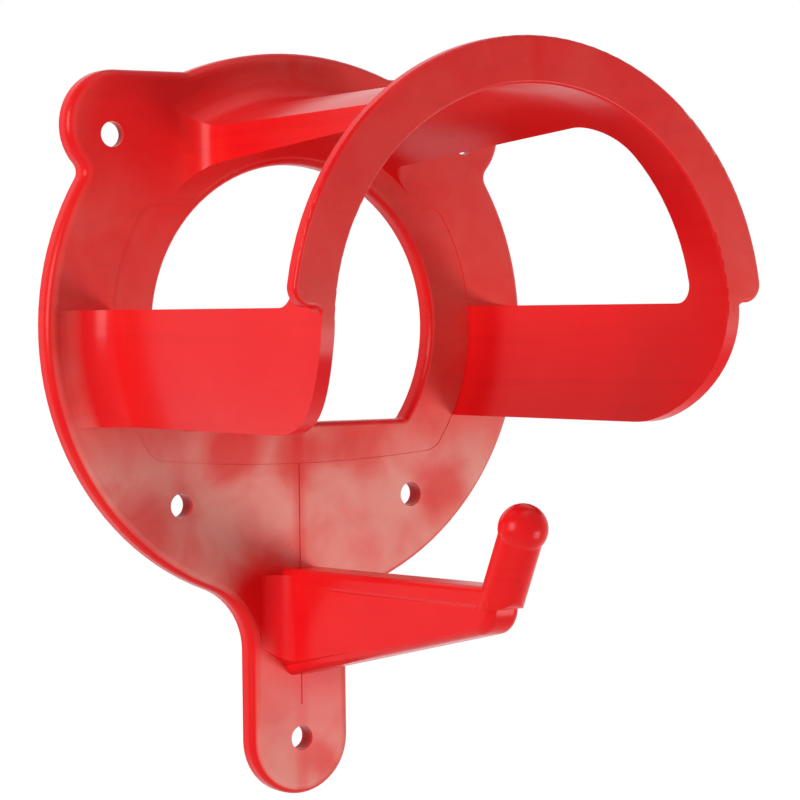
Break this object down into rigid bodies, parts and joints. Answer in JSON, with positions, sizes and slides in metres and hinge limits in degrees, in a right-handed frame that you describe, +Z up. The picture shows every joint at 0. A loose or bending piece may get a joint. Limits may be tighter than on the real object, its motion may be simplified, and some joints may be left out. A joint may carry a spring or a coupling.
{
  "type": "bridle bracket",
  "caption": "Wall bracket for a stable, moulded in one piece: a round plate with ears and a tab, an arch with a lip for a headpiece, and a short hook with a ball end below it.",
  "frame": {"origin": "middle of the plate's round opening, on the wall plane", "axes": "+Y into the wall, so the part stands out along -Y; +Z up; X across, the mirror plane is X=0"},
  "size_m": [0.164, 0.128, 0.2194],
  "materials": {
    "stable_hook": "semi-gloss moulded red plastic"
  },
  "bodies": {
    "root": {"stable_hook": "stable_hook"}
  },
  "joints": []
}
